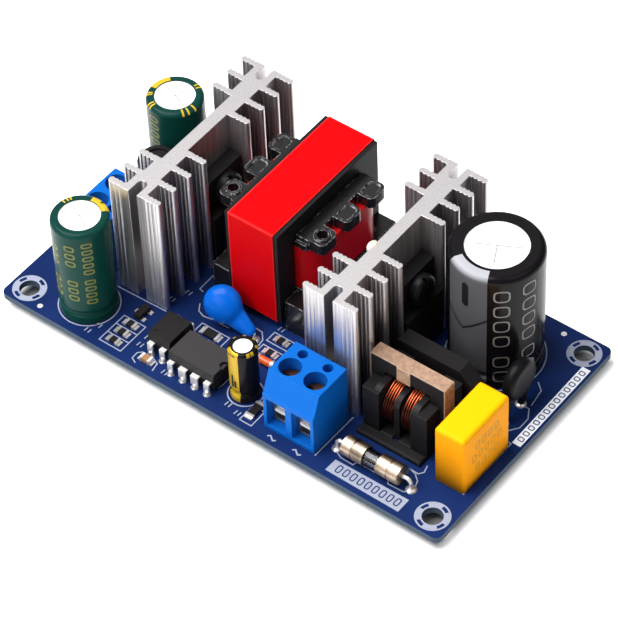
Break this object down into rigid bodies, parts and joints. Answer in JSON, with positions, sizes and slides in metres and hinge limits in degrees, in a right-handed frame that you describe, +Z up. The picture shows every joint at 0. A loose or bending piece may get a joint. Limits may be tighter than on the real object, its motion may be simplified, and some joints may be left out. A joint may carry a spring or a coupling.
{
  "type": "switching power supply",
  "caption": "Open-frame AC-DC switching power supply: board with finned heatsinks, taped transformer, capacitors, fuse, mains choke and screw terminals.",
  "frame": {"origin": "middle of the rectangle of the four fixing holes, on the underside of the board", "axes": "+X along the long front edge, from the output terminal to the mains end; +Y from the front edge with the mains terminal to the back; +Z up out of the component side of the board"},
  "size_m": [0.091, 0.0494, 0.0288],
  "materials": {
    "board_blue": "glossy solder mask over laminate",
    "solder": "bright solder",
    "terminal_blue": "moulded nylon",
    "tinned_metal": "tin plated",
    "screw_metal": "passivated steel",
    "can_aluminium": "bare",
    "sleeve_black": "shrunk film",
    "sleeve_green": "shrunk film",
    "bung_rubber": "matt",
    "ferrite": "sintered, matt",
    "copper_wire": "enamelled copper",
    "shrink_black": "shrink tubing",
    "sink_aluminium": "extruded, bare",
    "mould_black": "moulded epoxy",
    "black_steel": "black oxide",
    "bobbin_black": "moulded",
    "tape_red": "polyester tape",
    "winding_red": "polyester tape",
    "tape_tan": "film tape",
    "disc_blue": "epoxy coat",
    "box_yellow": "moulded case",
    "disc_black": "epoxy coat",
    "fuse_glass": "clear",
    "fuse_metal": "nickel plated",
    "chip_black": "chip resistor",
    "chip_tan": "chip capacitor",
    "glass_orange": "diode glass"
  },
  "bodies": {
    "board": {"circuit_board": "board_blue", "solder_joints": "solder", "input_terminal": "terminal_blue", "output_terminal": "terminal_blue", "terminal_contacts": "tinned_metal", "bulk_can": "can_aluminium", "bulk_sleeve": "sleeve_black", "front_can": "can_aluminium", "front_sleeve": "sleeve_green", "rear_can": "can_aluminium", "rear_sleeve": "sleeve_green", "supply_can": "can_aluminium", "supply_sleeve": "sleeve_black", "capacitor_bungs": "bung_rubber", "capacitor_leads": "tinned_metal", "inductor_core": "ferrite", "inductor_winding": "copper_wire", "inductor_sleeve": "shrink_black", "secondary_heatsink": "sink_aluminium", "primary_heatsink": "sink_aluminium", "heatsink_pins": "tinned_metal", "rectifier_body": "mould_black", "rectifier_leads": "tinned_metal", "transistor_body": "mould_black", "transistor_leads": "tinned_metal", "device_screws": "black_steel", "upper_core": "ferrite", "lower_core": "ferrite", "transformer_bobbin": "bobbin_black", "transformer_winding": "winding_red", "core_tape": "tape_red", "bobbin_pins": "tinned_metal", "disc_capacitor": "disc_blue", "optocoupler": "mould_black", "controller": "mould_black", "dip_leads": "tinned_metal", "radial_leads": "tinned_metal", "fuse_tube": "fuse_glass", "fuse_caps": "fuse_metal", "fuse_wire": "tinned_metal", "choke_core": "ferrite", "choke_tape": "tape_tan", "choke_bobbin": "bobbin_black", "choke_windings": "copper_wire", "bridge_rectifier": "mould_black", "bridge_leads": "tinned_metal", "box_capacitor": "box_yellow", "thermistor": "disc_black", "chip_resistors": "chip_black", "chip_capacitor": "chip_tan", "voltage_reference": "mould_black", "glass_diode": "glass_orange"},
    "input_screw_a": {"input_screw_a": "screw_metal"},
    "input_clamp_a": {"input_clamp_a": "tinned_metal"},
    "input_screw_b": {"input_screw_b": "screw_metal"},
    "input_clamp_b": {"input_clamp_b": "tinned_metal"},
    "output_screw_a": {"output_screw_a": "screw_metal"},
    "output_clamp_a": {"output_clamp_a": "tinned_metal"},
    "output_screw_b": {"output_screw_b": "screw_metal"},
    "output_clamp_b": {"output_clamp_b": "tinned_metal"}
  },
  "joints": [
    {"name": "input_screw_a_turn", "type": "hinge", "parent": "board", "child": "input_screw_a", "pos_m": [0.01148, -0.01779, 0.009], "axis": [0, 0, -1], "range_deg": [0, 1080]},
    {"name": "input_clamp_a_rise", "type": "slide", "parent": "board", "child": "input_clamp_a", "axis": [0, 0, 1], "range_m": [0, 0.0015]},
    {"name": "input_screw_b_turn", "type": "hinge", "parent": "board", "child": "input_screw_b", "pos_m": [0.01656, -0.01779, 0.009], "axis": [0, 0, -1], "range_deg": [0, 1080]},
    {"name": "input_clamp_b_rise", "type": "slide", "parent": "board", "child": "input_clamp_b", "axis": [0, 0, 1], "range_m": [0, 0.0015]},
    {"name": "output_screw_a_turn", "type": "hinge", "parent": "board", "child": "output_screw_a", "pos_m": [-0.03762, -0.00212, 0.009], "axis": [0, 0, -1], "range_deg": [0, 1080]},
    {"name": "output_clamp_a_rise", "type": "slide", "parent": "board", "child": "output_clamp_a", "axis": [0, 0, 1], "range_m": [0, 0.0015]},
    {"name": "output_screw_b_turn", "type": "hinge", "parent": "board", "child": "output_screw_b", "pos_m": [-0.03762, -0.0072, 0.009], "axis": [0, 0, -1], "range_deg": [0, 1080]},
    {"name": "output_clamp_b_rise", "type": "slide", "parent": "board", "child": "output_clamp_b", "axis": [0, 0, 1], "range_m": [0, 0.0015]}
  ],
  "couplings": [
    {"joint": "input_screw_a_turn", "follows": "input_clamp_a_rise", "rad_per_m": 12566},
    {"joint": "input_screw_b_turn", "follows": "input_clamp_b_rise", "rad_per_m": 12566},
    {"joint": "output_screw_a_turn", "follows": "output_clamp_a_rise", "rad_per_m": 12566},
    {"joint": "output_screw_b_turn", "follows": "output_clamp_b_rise", "rad_per_m": 12566}
  ]
}
